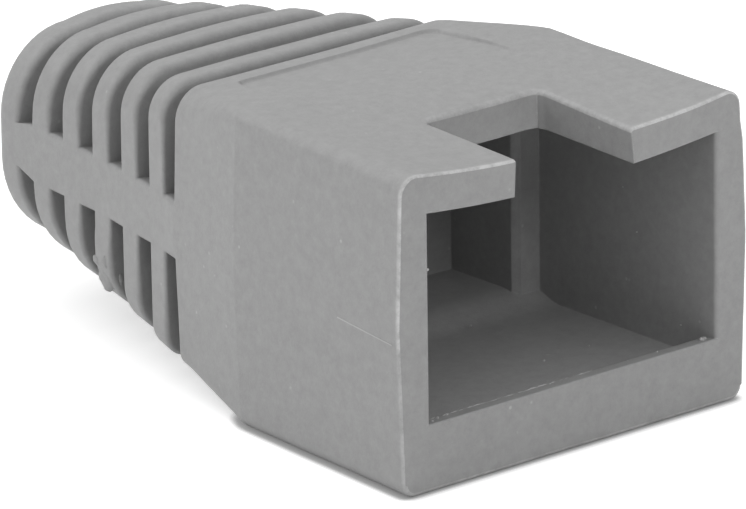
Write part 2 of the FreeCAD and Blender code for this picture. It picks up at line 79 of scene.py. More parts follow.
# The tail's bars, from the first to the last: millimetres, then two shares
SIDE_WALLS = (2.55, 1.25)
ROOF_WALLS = (1.65, 0.75)
HIGH_RADII = (1.25, 2.75)
LOW_RADII = (0.9, 3.1)
CROWNS = (0.04, 0.15)
SIDE_BOW = 0.15
ROOF_BOW = 0.12
ROOF_NARROWING = 0.6
LOW_TURN = 0.75

# The latch notch, the sunken field and the inside, in millimetres
NOTCH_HALF = 2.4
NOTCH_DEPTH = 4.45
NOTCH_CORNER = 0.4
NOTCH_LEAN = 0.1
NOTCH_SPREAD = 0.5
LEAN_SPREAD = 0.6
TONGUE_REACH = 0.12
TONGUE_LEFT_ROUND = 0.2
TONGUE_RIGHT_ROUND = 0.05
FIELD_HALF = 4.15
FIELD_FRONT = 6.7
FIELD_BACK = 11.6
FIELD_BACK_HEIGHT = 10.085
FIELD_CORNER = 0.5
FIELD_STEP = 0.06
FIELD_SOFT_STEP = 0.2
FIELD_MARGIN = 0.08
FIELD_BAND = 0.62
ROOF_FULL = 4.75
CAVITY_HALF = 5.95
CAVITY_END = 8.45
FLOOR = 1.47
CEILING = 9.1
CEILING_SAG = 0.33
CAVITY_CORNER = 0.35
LIP_TOP = 2.25
LIP_DEPTH = 0.6
LIP_FALL = 0.1
CLIMB_START = 7.5
CLIMB_LENGTH = 1.6
NECK_HALF = 4.95
NECK_FLOOR = 1.9
NECK_CEILING = 8.98
NECK_END = 11.65
NECK_BEVEL = 0.22
BEVEL_LENGTH = 0.25

# How far the edges are rounded over, in millimetres
RIM_ROUND = 0.08
INNER_ROUND = 0.05
SIDE_ROUND = 0.14
BAR_FRONT_ROUND = 0.30
BAR_REAR_ROUND = 0.20
LEDGE_ROUND = 0.12
SPINE_ROUND = 0.10
SILL_ROUND = 0.16
COLLAR_ROUND = 0.14
NOTCH_ROUND = 0.16
EXIT_ROUND = 0.5

# How far from a slot its roundings can reach, and their share where a bar's corner starts
BAR_NEAR = 0.5
SIDE_LIFT = 0.35

# The skin's edges are drawn sharp where they turn by more degrees than this
SHARP = 33.0

# The real moulding's small departures from the drawn form, and the heights that bound the painted
# edge highlight, in millimetres
LEDGE_SLOPE = 0.35
COLLAR_SHIFT = 0.13
SHIFT_LENGTH = 0.6
ROOF_SETTLING = 0.1
SETTLING_REACH = 6.0
SETTLING_HEIGHT = 8.5
PROUD_RISE = 3.0
PROUD_END = 12.6
PROUD_FALL = 0.8
GATE_ALONG = 17.36
GATE_RADIUS = 0.55
GATE_EDGE = 0.25
GATE_DEPTH = 0.035
GATE_UNDER_AXIS = 1.1
FULL_HIGHLIGHT_ABOVE = 4.85
NOTCH_HIGHLIGHT_HEIGHT = 8.6
SEAM_SPAN = (0.3, 3.1)
SEAM_HEIGHTS = (5.05, 5.22)
SEAM_SIZE = (0.022, 0.012)
FLASH_SPAN = (-5.7, 1.2)
FLASH_HEIGHT = 2.14
FLASH_SIZE = (0.035, 0.05)

# Unevenness, as how often it swells in a millimetre and by how many millimetres
SLOW_WOBBLE = (0.45, 0.009)
QUICK_WOBBLE = (2.3, 0.003)

# Spacing of the skin's sections, in millimetres
STEP = 0.012
CLOSEST = 0.004

# Kinds of face, and the parts of the outline above the corners
OUTER, INNER, WALL = 0, 1, 2
ROOF_KINDS = ("out", "field", "span", "notch", "middle")
NOTCH_KINDS = ("span", "notch", "middle")

# Plastic, with its lengths in millimetres
GREY = 0.318
GREY_SPREAD = 0.06
# How much the painted edge highlight lifts the grey, and its share on the lower edges
EDGE_HIGHLIGHT_LIFT = 0.30
HALF_EDGE_HIGHLIGHT = 0.5
DUST_LIFT = 0.12
PALE = 0.46
EDGE_ROUNDING = 0.08
ROUGHNESS = 0.5
REFRACTION = 1.46
GRAIN_DEPTH = 0.02

# How finely the plastic's textures repeat, in times per metre
MOTTLE_SCALE = 2500.0
DUST_SCALE = 2200.0
PATCH_SCALE = 700.0
GRAIN_SCALE = 13000.0

# Light, with places and sizes in metres and the painted contact shadow's reach in millimetres
SKY_LOW = 0.22
SKY_HIGH = 1.27
SKY_SLANT = (-0.4 * 0.26, 0.9 * 0.26, 0.0)
KEY_LEVEL = 0.11
FRONT_LEVEL = 0.14
KEY_PLACE = (-0.25, 0.38, 0.36)
KEY_SIZE = 0.30
FRONT_PLACE = (-0.03, -0.46, 0.27)
FRONT_SIZE = 0.12
LAMP_AIM = (0.0, 0.0, 0.005)
FLOOR_HALF = 1.5
FLOOR_WHITE = 0.90
FLOOR_GLOW = 0.46
CONTACT_REACH = 0.32
CONTACT_SHADE = 0.38


def lerp(a, b, t):
    return a + (b - a) * t


def smooth(t):
    t = min(max(t, 0.0), 1.0)
    return t * t * (3.0 - 2.0 * t)


def inset(distance, radius):
    """How far a rounded edge lies below the flat skin at a distance from the edge."""
    if distance >= radius:
        return 0.0
    return radius - math.sqrt(max(radius ** 2 - (radius - distance) ** 2, 0.0))


def steps_in(radius, count):
    """Distances from an edge that divide its rounding into equal turns."""
    return [radius * (1 - math.cos(math.pi / 2 * step / count)) for step in range(1, count + 1)]


def outline_keys():
    """Sections of the outer skin: place, half width, top, low, two radii, draft and sag."""
    keys = [
        (0.0, MOUTH_HALF, MOUTH_TOP, 0.0, *MOUTH_RADII, DRAFT, ROOF_SAG),
        (KINK, KINK_HALF, HIGHEST, 0.0, *KINK_RADII, DRAFT, 0.0),
        (COLLAR, COLLAR_HALF, COLLAR_TOP, COLLAR_LOW, *COLLAR_RADII, DRAFT, 0.0),
    ]
    before = COLLAR_HALF - SPINE * DRAFT
    for bar in range(SLOTS):
        share = bar / (SLOTS - 1)
        bow = 4 * bar * (SLOTS - 1 - bar) / (SLOTS - 1) ** 2
        rear = BORE + lerp(*SIDE_WALLS, share) - SIDE_BOW * bow
        rise = BORE + lerp(*ROOF_WALLS, share) + ROOF_BOW * bow
        length = SLOT_PITCH - SLOT_WIDTH if bar < SLOTS - 1 else EXIT_RING
        front = COLLAR + SLOT_WIDTH + bar * SLOT_PITCH
        narrowing = (before - rear) * length / (SLOT_WIDTH + length)
        high, low = lerp(*HIGH_RADII, share), lerp(*LOW_RADII, share ** LOW_TURN)
        crown, drop = lerp(*CROWNS, share), narrowing * ROOF_NARROWING
        top = AXIS + rise - crown
        keys.append((front, rear + narrowing, top, AXIS - rise, high, low, 0.0, -crown))
        back = front + length
        keys.append((back, rear, top - drop, AXIS - rise + drop, high, low, 0.0, -crown))
        before = rear
    return keys


def section(keys, along):
    """The outer skin's sizes at one place along the boot."""
    along = min(max(along, keys[0][0]), keys[-1][0])
    for first, second in zip(keys, keys[1:]):
        if along <= second[0]:
            share = (along - first[0]) / (second[0] - first[0])
            return [lerp(a, b, share) for a, b in zip(first, second)][1:]


def ramp(start, end, count):
    """Count places after the start, the last of them the end."""
    return [lerp(start, end, step / count) for step in range(1, count + 1)]


def loop_plan():
    """Names and shares of the points up one side of the outline, from the spine's middle."""
    ledge = [SPINE - distance for distance in reversed([0.0] + steps_in(LEDGE_ROUND, 4))]
    plan = [("spine", height) for height in [0.0, 0.25, 0.5, 0.7] + ledge]
    plan += [("side", share) for share in ramp(0.0, 1.0, 6)]
    plan += [("corner", share) for share in ramp(0.0, 1.0, 12)]
    return plan


def roof_plan():
    """Places across the right half of the roof, as a name and a share, from the corner inwards."""
    plan = [("out", share) for share in ramp(0.0, 1.0, 3)]
    plan += [("field", share) for share in ramp(0.0, 1.0, 14)]
    plan += [("span", share) for share in ramp(0.0, 1.0, 5)]
    plan += [("notch", distance) for distance in reversed([0.0] + steps_in(NOTCH_ROUND, 5)[:-1])]
    plan += [("middle", share) for share in (0.04, 0.08, 0.125, 0.167, 0.4, 0.7, 1.0)]
    return plan


def roof_place(kind, share, reach):
    """How far across a roof point lies, where the roof reaches so far from the middle."""
    scale = min(reach / ROOF_FULL, 1.0)
    outer, inner = (FIELD_HALF + FIELD_MARGIN) * scale, (FIELD_HALF - FIELD_BAND) * scale
    edge = NOTCH_HALF * scale
    if kind == "out":
        return lerp(reach, outer, share)
    if kind == "field":
        return lerp(outer, inner, share)
    if kind == "span":
        return lerp(inner, edge + NOTCH_ROUND * scale, share)
    if kind == "notch":
        return edge + share * scale
    return edge * (1 - share)


def outer_half(sizes, upwards):
    """Right half of the outline above or below the spine's middle: across, up, and the normal."""
    half, top, low, high_radius, low_radius, draft, sag = sizes
    reach = top - AXIS if upwards else AXIS - low
    radius = high_radius if upwards else low_radius
    lean = math.atan(draft)
    centre_up = reach - radius
    touch_up = centre_up + radius * math.sin(lean)
    touch_across = half - touch_up * draft
    centre_across = touch_across - radius * math.cos(lean)
    start_up = max(min(SPINE, touch_up - 0.001), 0.0)
    sag = sag if upwards else 0.0
    points = []
    side_normal = (math.cos(lean), math.sin(lean))
    for kind, share in loop_plan():
        if kind == "spine":
            up = min(share, start_up) if share <= SPINE else share
            points.append((half - up * draft, up) + side_normal)
        elif kind == "side":
            up = lerp(start_up, touch_up, share)
            points.append((half - up * draft, up) + side_normal)
        else:
            turn = lerp(lean, math.pi / 2, share)
            points.append((
                centre_across + radius * math.cos(turn), centre_up + radius * math.sin(turn),
                math.cos(turn), math.sin(turn),
            ))
    for kind, share in roof_plan():
        across = roof_place(kind, share, centre_across)
        dip = sag * (1 - (across / centre_across) ** 2)
        points.append((across, reach - dip, 0.0, 1.0))
    sign = 1.0 if upwards else -1.0
    return [(x, AXIS + sign * z, nx, sign * nz) for x, z, nx, nz in points]


def full_loop(upper, lower):
    """The whole outline, anticlockwise from the right spine's middle."""
    def flip(point):
        return (-point[0], point[1], -point[2], point[3])
    above = upper + [flip(point) for point in upper[-2:0:-1]]
    below = [flip(point) for point in lower[1:]] + lower[-2:0:-1]
    return above + [flip(upper[0])] + below


def loop_tags():
    """What each point of the whole outline is: its part, its share, and 1 above the axis or -1."""
    half = loop_plan() + roof_plan()
    upper = [(kind, share, 1) for kind, share in half]
    lower = [(kind, share, -1) for kind, share in half]
    above = upper + upper[-2:0:-1]
    below = lower[1:] + lower[-2:0:-1]
    return above + [("spine", 0.0, 1)] + below


def inner_sizes(along):
    """The inside: half width, floor, ceiling, sag, and whether it is the round bore."""
    climb = smooth((along - CLIMB_START) / CLIMB_LENGTH)
    floor = lerp(FLOOR, NECK_FLOOR, climb)
    if along < LIP_DEPTH:
        floor = LIP_TOP - LIP_FALL * along / LIP_DEPTH
    if along <= CAVITY_END:
        sag = CEILING_SAG * (1 - along / CAVITY_END)
        return CAVITY_HALF, floor, CEILING, sag, False
    if along <= NECK_END:
        bevel = NECK_BEVEL * (1 - smooth((along - CAVITY_END) / BEVEL_LENGTH))
        return NECK_HALF + bevel, floor, NECK_CEILING, 0.0, False
    return BORE, 0.0, 0.0, 0.0, True


def inner_half(along, outer, upwards):
    """Right half of the inside's section, point for point with the outline's half."""
    half, floor, ceiling, sag, bore = inner_sizes(along)
    half += inset(along, SIDE_ROUND)
    ceiling += inset(along, INNER_ROUND)
    floor -= inset(along, INNER_ROUND)
    points = []
    side_plan = loop_plan()
    ledge_height = SPINE - LEDGE_SLOPE
    turn_at_ledge = math.asin(ledge_height / BORE)
    ledge = outer[sum(kind == "spine" for kind, _ in side_plan) - 1]
    sweep_start = math.atan2(abs(ledge[1] - AXIS), ledge[0])
    reach = ceiling - AXIS if upwards else AXIS - floor
    field_start = (FIELD_HALF + FIELD_MARGIN) * min(outer[len(side_plan) - 1][0] / ROOF_FULL, 1.0)
    furthest = half - CAVITY_CORNER - 0.05
    for (kind, share), (x, z, _, _) in zip(side_plan + roof_plan(), outer):
        rise = abs(z - AXIS)
        if bore:
            if kind == "spine":
                height = min(rise, SPINE) * ledge_height / SPINE
                points.append((math.sqrt(BORE ** 2 - height ** 2), height))
                continue
            turn = math.atan2(rise, x)
            share_round = (turn - sweep_start) / (math.pi / 2 - sweep_start)
            turn = lerp(turn_at_ledge, math.pi / 2, share_round)
            points.append((BORE * math.cos(turn), BORE * math.sin(turn)))
            continue
        if kind == "spine":
            points.append((half, min(rise, SPINE)))
        elif kind == "side":
            points.append((half, lerp(SPINE, reach - CAVITY_CORNER, share)))
        elif kind == "corner" and share <= 0.5:
            points.append((half, lerp(reach - CAVITY_CORNER, reach, share * 2)))
        elif kind == "corner":
            points.append((lerp(half, half - CAVITY_CORNER, share * 2 - 1), reach))
        elif kind == "out":
            across = lerp(half - CAVITY_CORNER, min(field_start, furthest), share)
            points.append((across, reach))
        else:
            points.append((min(x, furthest), reach))
    sign = 1.0 if upwards else -1.0
    result = []
    for x, rise in points:
        sags = upwards and not bore and rise >= reach - 0.0001
        dip = sag * (1 - (x / half) ** 2) if sags else 0.0
        result.append((x, AXIS + sign * (rise - dip), 0.0, 0.0))
    return result


def slot_spans():
    """Where each slot starts and ends along the boot."""
    starts = [COLLAR + number * SLOT_PITCH for number in range(SLOTS)]
    return [(start, start + SLOT_WIDTH) for start in starts]


def stations():
    """Places along the boot where the sections stand, close together at the edges."""
    places = [0.0] + steps_in(SIDE_ROUND, 6) + [0.25, 0.4, LIP_DEPTH - STEP, LIP_DEPTH]
    places += ramp(LIP_DEPTH, NOTCH_DEPTH - NOTCH_CORNER, 8)
    places += ramp(NOTCH_DEPTH - NOTCH_CORNER, NOTCH_DEPTH, 5)
    places += [NOTCH_DEPTH + distance for distance in steps_in(NOTCH_ROUND, 5)]
    places += ramp(NOTCH_DEPTH + NOTCH_ROUND + 0.1, FIELD_FRONT - 0.2, 5)
    places += [FIELD_FRONT, 7.1, 7.5, 7.8, 8.1, 8.3, CAVITY_END, CAVITY_END + STEP]
    places += [KINK, 8.55, 8.6, CAVITY_END + BEVEL_LENGTH, 8.9, 9.2]
    places += ramp(9.2, FIELD_BACK - FIELD_BAND, 4)
    places += ramp(FIELD_BACK - FIELD_BAND, FIELD_BACK + 0.1, 16)
    places += [NECK_END, NECK_END + STEP, 11.9, 12.05]
    for number, (start, end) in enumerate(slot_spans()):
        rear = COLLAR_ROUND if number == 0 else BAR_REAR_ROUND
        places += [start - distance for distance in steps_in(rear, 6)] + [start, end]
        places += [end + distance for distance in steps_in(BAR_FRONT_ROUND, 8)]
        places.append(end + 0.55)
    places += [LENGTH - distance for distance in [0.0] + steps_in(EXIT_ROUND, 9)]
    places.sort()
    kept = [places[0]]
    for place in places[1:]:
        if place - kept[-1] > CLOSEST:
            kept.append(place)
    return kept


def bar_radius(kind, share, side, ahead, first):
    """How round a bar's edge is: little at the spine, most at the crest."""
    lift = {"spine": 0.0, "side": SIDE_LIFT * share * share}.get(kind, 1.0)
    if kind == "corner":
        lift = lerp(SIDE_LIFT, 1.0, smooth(share)) if side > 0 else SIDE_LIFT
    if not ahead:
        return lerp(SPINE_ROUND, BAR_FRONT_ROUND, lift)
    return COLLAR_ROUND if first else lerp(SPINE_ROUND, BAR_REAR_ROUND, lift)


def edge_rounding(tag, x, z, along):
    """How far the outer skin lies below its sharp form, and how strong the painted highlight on the
    edge near it is.
    """
    kind, share, side = tag
    rim = SILL_ROUND if side < 0 and kind not in ("spine", "side") else RIM_ROUND
    drop = max(inset(along, rim), inset(LENGTH - along, EXIT_ROUND))
    # Painted highlight along the mouth's edge: full above a height, half below it
    edge_highlight = 1 - smooth(along / (2 * RIM_ROUND))
    edge_highlight *= 1.0 if z > FULL_HIGHLIGHT_ABOVE else HALF_EDGE_HIGHLIGHT
    gap_up = max(SPINE - abs(z - AXIS), 0.0) if kind == "spine" else 0.0
    for number, (start, end) in enumerate(slot_spans()):
        if not start - BAR_NEAR < along < end + BAR_NEAR:
            continue
        gap_along = max(start - along, along - end, 0.0)
        radius = bar_radius(kind, share, side, start > along, number == 0)
        if kind == "spine":
            total = gap_up + gap_along
            nearness = gap_along / total if total > 0 else 0.0
            radius = lerp(LEDGE_ROUND, radius, nearness)
        drop = max(drop, inset(math.hypot(gap_up, gap_along), radius))
    if side > 0 and kind in ROOF_KINDS:
        gap = math.hypot(max(abs(x) - NOTCH_HALF, 0.0), max(along - NOTCH_DEPTH, 0.0))
        drop = max(drop, inset(gap, NOTCH_ROUND))
        # Painted highlight round the notch's edge
        edge_highlight = max(edge_highlight, HALF_EDGE_HIGHLIGHT * (1 - gap / NOTCH_ROUND))
    return drop, edge_highlight


def field_depth(x, along, top):
    """Depth of the sunken field: a crisp step at the back and right, a soft one at the left."""
    across, back = FIELD_HALF - abs(x), FIELD_BACK - along
    if along < FIELD_FRONT or across < 0 or back < 0:
        return 0.0
    share = (along - FIELD_FRONT) / (FIELD_BACK - FIELD_FRONT)
    floor = lerp(HIGHEST, FIELD_BACK_HEIGHT, share)
    gap = min(across, back)
    if across < FIELD_CORNER and back < FIELD_CORNER:
        gap = FIELD_CORNER - math.hypot(FIELD_CORNER - across, FIELD_CORNER - back)
    crisp = x > 0 or back < across
    return max(top - floor, 0.0) * smooth(gap / (FIELD_STEP if crisp else FIELD_SOFT_STEP))


def by_notch(tag, along, spread):
    """Whether a point is in the roof near the notch."""
    kind, _, side = tag
    return side > 0 and kind in NOTCH_KINDS and along <= NOTCH_DEPTH + spread


def round_notch(x, along):
    """Carry the points at the notch's back corners onto their round form."""
    inwards, forwards = NOTCH_HALF - abs(x), NOTCH_DEPTH - along
    radius = NOTCH_CORNER
    if inwards >= radius or forwards >= radius:
        return x, along
    gap = math.hypot(min(inwards, 0.0), min(forwards, 0.0))
    fade = max(1 - gap / NOTCH_SPREAD, 0.0)
    a, b = max(inwards, 0.0), max(forwards, 0.0)
    turn = math.pi / 4 * (1 - max(a, b) / radius)
    less, more = radius * (1 - math.cos(turn)), radius * (1 - math.sin(turn))
    move = (less - a, more - b) if a <= b else (more - a, less - b)
    return x - math.copysign(1.0, x) * move[0] * fade, along - move[1] * fade


def warp_notch(tag, x, along):
    """Carry the points round the notch onto its round corners and those at the mouth."""
    if not by_notch(tag, along, LEAN_SPREAD):
        return x, along
    extra = TONGUE_REACH * max(1 - along / NOTCH_DEPTH, 0.0) if x < 0 else 0.0
    x += extra * (1 - smooth(abs(x) - NOTCH_HALF))
    x, along = round_notch(x, along)
    radius = TONGUE_LEFT_ROUND if x < 0 else TONGUE_RIGHT_ROUND
    past, reach = abs(x) - NOTCH_HALF, NOTCH_SPREAD
    if x < 0:
        past += TONGUE_REACH * max(1 - along / NOTCH_DEPTH, 0.0)
    if -0.001 < past < reach and along < reach:
        def bulge(distance):
            turn = math.pi / 4 * (1 - min(distance / radius, 1.0))
            return radius * (1 - math.cos(turn))
        across_move = bulge(along) * (1 - past / reach)
        along_move = bulge(max(past, 0.0)) * (1 - along / reach)
        x += math.copysign(1.0, x) * across_move
        along += along_move
    return x, along


def lean_notch(tag, x, along):
    """The notch is a little wider and deeper where it meets the cavity."""
    if not by_notch(tag, along, NOTCH_SPREAD):
        return x, along
    past = abs(x) - NOTCH_HALF
    if past >= -0.001:
        x += math.copysign(1.0, x) * NOTCH_LEAN * max(1 - past / LEAN_SPREAD, 0.0)
    along += NOTCH_LEAN * max(1 - abs(along - NOTCH_DEPTH) / NOTCH_SPREAD, 0.0)
    return x, along


def wobble(x, along, z):
    """The small unevenness of a soft moulding."""
    place = Vector((x, along, z))
    return sum(noise.noise(place * often) * size for often, size in (SLOW_WOBBLE, QUICK_WOBBLE))


def settle(x, z, along):
    """The roof's right edge has sunk a little at the mouth and stands proud at the back."""
    share = smooth(x / SETTLING_REACH) * smooth(z - SETTLING_HEIGHT)
    proud = smooth((along - SETTLING_REACH) / PROUD_RISE)
    proud *= smooth((PROUD_END - along) / PROUD_FALL)
    return share * ROOF_SETTLING * (proud - smooth(1 - along / SETTLING_REACH))


def outer_row(tags, sizes, loop, along):
    """One section of the outer skin: where each of its points lies, and how strong its painted edge
    highlight is.
    """
    row = []
    for tag, (x, z, nx, nz) in zip(tags, loop):
        drop, edge_highlight = edge_rounding(tag, x, z, along)
        if tag[2] > 0 and tag[0] in ROOF_KINDS:
            drop += field_depth(x, along, sizes[1])
        if x < -BORE:
            gap = math.hypot(along - GATE_ALONG, z - AXIS + GATE_UNDER_AXIS)
            drop += GATE_DEPTH * (1 - smooth((gap - GATE_RADIUS) / GATE_EDGE))
        rise = wobble(x, along, z) - drop + settle(x, z, along)
        new_x, new_along = warp_notch(tag, x, along)
        if along <= COLLAR:
            new_along += COLLAR_SHIFT * smooth((along - COLLAR + SHIFT_LENGTH) / SHIFT_LENGTH)
        across = min(max(new_x + nx * rise, -MOUTH_HALF), MOUTH_HALF)
        row.append(((across, new_along, min(max(z + nz * rise, 0.0), HIGHEST)), edge_highlight))
    return row


def inner_row(tags, loop, along):
    """One section of the inside, point for point with the outer skin's."""
    row = []
    for tag, (x, z, _, _) in zip(tags, loop):
        x, new_along = lean_notch(tag, x, along)
        x, new_along = warp_notch(tag, x, new_along)
        row.append(((x, new_along, z), 0.0))
    return row


def build_skin():
    """Vertices, faces and painted edge highlight of the whole boot as one closed skin."""
    keys, tags, places = outline_keys(), loop_tags(), stations()
    count, last = len(tags), len(places) - 1
    spans = slot_spans()
    rows = ([], [])
    for along in places:
        sizes = section(keys, along)
        halves = [outer_half(sizes, upwards) for upwards in (True, False)]
        rows[OUTER].append(outer_row(tags, sizes, full_loop(*halves), along))
        insides = [inner_half(along, *pair) for pair in zip(halves, (True, False))]
        rows[INNER].append(inner_row(tags, full_loop(*insides), along))

    def is_void(j, k):
        """Whether a slot or the notch leaves out the cell after a point and a section."""
        if k < 0 or k >= last:
            return True
        first, second = tags[j % count], tags[(j + 1) % count]
        middle = (places[k] + places[k + 1]) / 2
        arch = not (first[0] == "spine" and second[0] == "spine")
        if arch and any(start < middle < end for start, end in spans):
            return True
        over = "middle" in (first[0], second[0]) and first[2] > 0 and second[2] > 0
        return over and middle < NOTCH_DEPTH

    verts, faces, parts, edge_highlights, numbers = [], [], [], [], {}

    def vertex(skin, j, k):
        """The number of a vertex, made when it is first asked for."""
        key = (skin, j % count, k)
        if key not in numbers:
            place, edge_highlight = rows[skin][k][j % count]
            numbers[key] = len(verts)
            verts.append((place[0] * MM, (place[1] - MIDDLE) * MM, place[2] * MM))
            edge_highlights.append(edge_highlight)
        return numbers[key]

    def wall(first, second):
        """A wall from the outer skin to the inside, along one edge of a cell."""
        corners = ((OUTER, first), (OUTER, second), (INNER, second), (INNER, first))
        faces.append(tuple(vertex(skin, *place) for skin, place in corners))
        parts.append(WALL)

    for k in range(last):
        for j in range(count):
            if is_void(j, k):
                continue
            for skin in (OUTER, INNER):
                faces.append((
                    vertex(skin, j, k), vertex(skin, j + 1, k),
                    vertex(skin, j + 1, k + 1), vertex(skin, j, k + 1),
                ))
                parts.append(skin)
            if is_void(j - 1, k):
                wall((j, k), (j, k + 1))
            if is_void(j + 1, k):
                wall((j + 1, k), (j + 1, k + 1))
            if is_void(j, k - 1):
                wall((j, k), (j + 1, k))
            if is_void(j, k + 1):
                wall((j, k + 1), (j + 1, k + 1))
    return verts, faces, parts, edge_highlights


def make_boot(material):
    """The boot as one mesh of quads with soft edges, in place of the CAD node."""
    verts, faces, parts, edge_highlights = build_skin()
    mesh = bpy.data.meshes.new("boot_skin")
    mesh.from_pydata(verts, [], faces)
    work = bmesh.new()
    work.from_mesh(mesh)
    bmesh.ops.recalc_face_normals(work, faces=work.faces)
    work.faces.ensure_lookup_table()
    for face in work.faces:
        face.smooth = True
    for edge in work.edges:
        if len(edge.link_faces) == 2:
            first, second = edge.link_faces
            meet = parts[first.index] != parts[second.index]
            edge.smooth = not meet and edge.calc_face_angle(0.0) < math.radians(SHARP)
    work.to_mesh(mesh)
    work.free()
    # The painted edge highlight, carried to the shader as a colour attribute
    layer = mesh.attributes.new("edge_highlight", "FLOAT_COLOR", "CORNER")
    for polygon in mesh.polygons:
        for number in polygon.loop_indices:
            outside = parts[polygon.index] == OUTER
            edge_highlight = edge_highlights[mesh.loops[number].vertex_index] if outside else 0.0
            layer.data[number].color = (edge_highlight, 0.0, 0.0, 1.0)
    mesh.materials.append(material)
    boot = bpy.data.objects.new("boot_skin", mesh)
    bpy.context.scene.collection.objects.link(boot)
    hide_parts("boot")
    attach(boot, "root")


def new_material(name):
    """An empty material and its shader tree."""
    material = bpy.data.materials.new(name)
    material.use_nodes = True
    tree = material.node_tree
    tree.nodes.clear()
    return material, tree


def add_node(tree, kind, **values):
    """A shader node with the given inputs and settings."""
    node = tree.nodes.new(kind)
    for key, value in values.items():
        if key in node.inputs:
            node.inputs[key].default_value = value
        else:
            setattr(node, key, value)
    return node


def maths(tree, operation, *sources):
    """The result of a calculation on sockets and plain numbers."""
    node = add_node(tree, "ShaderNodeMath", operation=operation)
    for socket, source in zip(node.inputs, sources):
        if isinstance(source, float):
            socket.default_value = source
        else:
            tree.links.new(source, socket)
    return node.outputs["Value"]


def scaled(tree, source, start, end, low=0.0, high=1.0):
    """A socket's range from start to end, carried onto the range from low to high."""
    node = add_node(tree, "ShaderNodeMapRange")
    names = ("From Min", "From Max", "To Min", "To Max")
    for name, number in zip(names, (start, end, low, high)):
        node.inputs[name].default_value = number
    tree.links.new(source, node.inputs["Value"])
    return node.outputs["Result"]


def grey(tree, source):
    """A level as a grey colour."""
    node = add_node(tree, "ShaderNodeCombineColor")
    for channel in ("Red", "Green", "Blue"):
        tree.links.new(source, node.inputs[channel])
    return node.outputs["Color"]


def pattern(tree, place, kind, output, **values):
    """A texture laid out over the boot itself."""
    node = add_node(tree, kind, **values)
    tree.links.new(place, node.inputs["Vector"])
    return node.outputs[output]


def painted_highlight_places(tree, place, soft_normal):
    """Mask of the painted highlight: along the mouth's and the notch's edges, and where the skin's
    attribute marks it.
    """
    link = tree.links.new
    surface = add_node(tree, "ShaderNodeNewGeometry")
    turn = add_node(tree, "ShaderNodeVectorMath", operation="DOT_PRODUCT")
    link(soft_normal, turn.inputs[0])
    link(surface.outputs["Normal"], turn.inputs[1])
    edge = scaled(tree, turn.outputs["Value"], 0.985, 0.80)
    spot = add_node(tree, "ShaderNodeSeparateXYZ")
    link(place, spot.inputs["Vector"])
    along, height = spot.outputs["Y"], spot.outputs["Z"]
    mouth = maths(tree, "LESS_THAN", along, (0.1 - MIDDLE) * MM)
    near = maths(tree, "LESS_THAN", along, (NOTCH_DEPTH + 0.3 - MIDDLE) * MM)
    high = maths(tree, "GREATER_THAN", height, NOTCH_HIGHLIGHT_HEIGHT * MM)
    where = maths(tree, "MAXIMUM", mouth, maths(tree, "MULTIPLY", near, high))
    highlight_marks = add_node(tree, "ShaderNodeAttribute", attribute_name="edge_highlight")
    parts = add_node(tree, "ShaderNodeSeparateColor")
    link(highlight_marks.outputs["Color"], parts.inputs["Color"])
    return maths(tree, "MAXIMUM", maths(tree, "MULTIPLY", edge, where), parts.outputs["Red"])


def plastic():
    """Satin soft PVC: an even grey with a faint mottle, fine grain, light specks of dust and a
    painted highlight along the mouth's and the notch's edges.
    """
    material, tree = new_material("boot_pvc")
    link = tree.links.new
    place = add_node(tree, "ShaderNodeTexCoord").outputs["Object"]
    output = add_node(tree, "ShaderNodeOutputMaterial")
    shader = add_node(tree, "ShaderNodeBsdfPrincipled")
    shader.inputs["Roughness"].default_value = ROUGHNESS
    shader.inputs["IOR"].default_value = REFRACTION

    noise_kind = "ShaderNodeTexNoise"
    mottle = pattern(
        tree, place, noise_kind, "Fac", Scale=MOTTLE_SCALE, Detail=5.0, Roughness=0.8
    )
    low, high = GREY - GREY_SPREAD / 2, GREY + GREY_SPREAD / 2
    tint = scaled(tree, mottle, 0.3, 0.7, low, high)

    dust = pattern(tree, place, "ShaderNodeTexVoronoi", "Distance", Scale=DUST_SCALE)
    patch = pattern(tree, place, noise_kind, "Fac", Scale=PATCH_SCALE)
    speck, sparse = scaled(tree, dust, 0.16, 0.08), scaled(tree, patch, 0.62, 0.68)
    dusty = maths(tree, "MULTIPLY_ADD", maths(tree, "MULTIPLY", speck, sparse), DUST_LIFT, tint)

    soft = add_node(tree, "ShaderNodeBevel", samples=8, Radius=EDGE_ROUNDING * MM)
    # Painted highlight: the grey is lifted along sharp edges at the mouth and at the notch
    highlight_mask = painted_highlight_places(tree, place, soft.outputs["Normal"])
    highlight_amount = maths(tree, "MULTIPLY", highlight_mask, scaled(tree, mottle, 0.35, 0.6, 0.45))
    dust_and_highlight = maths(tree, "MULTIPLY_ADD", highlight_amount, EDGE_HIGHLIGHT_LIFT, dusty)
    link(grey(tree, dust_and_highlight), shader.inputs["Base Color"])

    grain = pattern(tree, place, noise_kind, "Fac", Scale=GRAIN_SCALE, Detail=2.0)
    bump = add_node(tree, "ShaderNodeBump", Strength=0.4, Distance=GRAIN_DEPTH * MM)
    link(grain, bump.inputs["Height"])
    link(soft.outputs["Normal"], bump.inputs["Normal"])
    link(bump.outputs["Normal"], shader.inputs["Normal"])
    link(shader.outputs["BSDF"], output.inputs["Surface"])
    return material


def pale_material():
    """Rubbed and torn plastic, paler than the moulded skin."""
    material, tree = new_material("pvc_pale")
    output = add_node(tree, "ShaderNodeOutputMaterial")
    shader = add_node(tree, "ShaderNodeBsdfPrincipled")
    shader.inputs["Base Color"].default_value = (PALE, PALE, PALE, 1.0)
    shader.inputs["Roughness"].default_value = ROUGHNESS
    tree.links.new(shader.outputs["BSDF"], output.inputs["Surface"])
    return material


